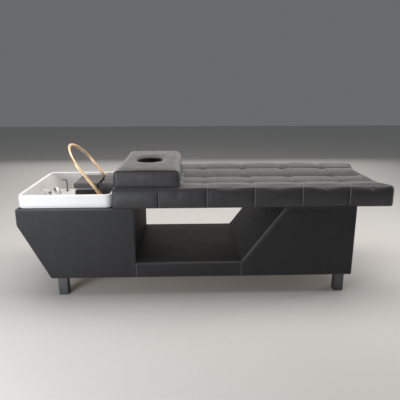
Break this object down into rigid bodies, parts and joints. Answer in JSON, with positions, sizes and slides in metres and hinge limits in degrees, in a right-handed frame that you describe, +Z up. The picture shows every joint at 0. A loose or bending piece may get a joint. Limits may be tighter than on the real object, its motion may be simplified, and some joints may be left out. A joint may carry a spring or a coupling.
{
  "type": "hair washing bed",
  "caption": "Upholstered hair washing bed with a through niche, tufted mattress, face pillow, white basin, tap, hand shower and a swinging spray arch.",
  "frame": {"origin": "on the floor, under the middle of the bed's outer box", "axes": "+X to the foot end, +Y to the rear side, +Z up"},
  "size_m": [2, 0.69, 0.7882],
  "materials": {
    "black_leather": "satin",
    "plywood": "matt",
    "painted_steel": "satin",
    "brushed_steel": "brushed",
    "zinc": "satin",
    "foot_plastic": "matt",
    "white_gloss": "gloss",
    "chrome": "polished",
    "gold": "brushed",
    "black_plastic": "matt",
    "black_rubber": "dimpled",
    "pipe_plastic": "matt"
  },
  "bodies": {
    "bed": {"arch_post_front": "gold", "arch_post_rear": "gold", "base_floor": "plywood", "basin": "white_gloss", "basin_bowl": "white_gloss", "basin_deck": "black_leather", "deck_beam_front": "painted_steel", "deck_beam_rear": "painted_steel", "drain_outlet": "pipe_plastic", "drain_trap": "pipe_plastic", "foot_end_panel": "black_leather", "foot_front_panel": "black_leather", "foot_rear_panel": "black_leather", "head_end_panel": "black_leather", "head_front_panel": "black_leather", "head_rear_panel": "black_leather", "head_rest_base": "black_plastic", "head_rest_bracket": "brushed_steel", "head_rest_rails": "white_gloss", "leg_bolts": "zinc", "leg_caps": "foot_plastic", "leg_foot_front": "brushed_steel", "leg_foot_rear": "brushed_steel", "leg_head_front": "brushed_steel", "leg_head_rear": "brushed_steel", "leg_nuts": "zinc", "mattress": "black_leather", "mattress_board": "plywood", "mixer_body": "chrome", "mixer_nut": "zinc", "neck_rest": "black_rubber", "niche_head_wall": "black_leather", "niche_shelf": "black_leather", "niche_slant_wall": "black_leather", "plinth_front_rail": "black_leather", "plinth_rear_rail": "black_leather", "post_nuts": "zinc", "shelf_bearers": "plywood", "shower_hook": "chrome", "shower_socket": "chrome", "waste_body": "chrome", "waste_nut": "pipe_plastic"},
    "arch": {"arch_tube": "gold", "arch_knuckle_front": "gold", "arch_knuckle_rear": "gold"},
    "mixer_turret": {"mixer_turret": "chrome"},
    "mixer_lever": {"mixer_lever": "chrome"},
    "hand_shower": {"hand_shower": "chrome"},
    "strainer": {"strainer_basket": "chrome"},
    "head_rest_pad": {"head_rest_pad": "black_rubber"},
    "face_pillow": {"face_pillow": "black_leather", "pillow_board": "plywood"}
  },
  "joints": [
    {"name": "arch_swing", "type": "hinge", "parent": "bed", "child": "arch", "pos_m": [-0.569, 0, 0.501], "axis": [0, 1, 0], "range_deg": [-40, 35]},
    {"name": "mixer_turn", "type": "hinge", "parent": "bed", "child": "mixer_turret", "pos_m": [-0.915, -0.045, 0.5], "axis": [0, 0, 1], "range_deg": [-45, 45]},
    {"name": "mixer_lift", "type": "hinge", "parent": "mixer_turret", "child": "mixer_lever", "pos_m": [-0.903, -0.045, 0.5181], "axis": [0, 1, 0], "range_deg": [0, 22]},
    {"name": "shower_lift", "type": "slide", "parent": "bed", "child": "hand_shower", "axis": [0, 0, 1], "range_m": [0, 0.2]},
    {"name": "strainer_lift", "type": "slide", "parent": "bed", "child": "strainer", "axis": [0, 0, 1], "range_m": [0, 0.1]},
    {"name": "head_rest_slide", "type": "slide", "parent": "bed", "child": "head_rest_pad", "axis": [1, 0, 0], "range_m": [-0.04, 0]},
    {"name": "pillow_lift", "type": "slide", "parent": "bed", "child": "face_pillow", "axis": [0, 0, 1], "range_m": [0, 0.25]}
  ]
}
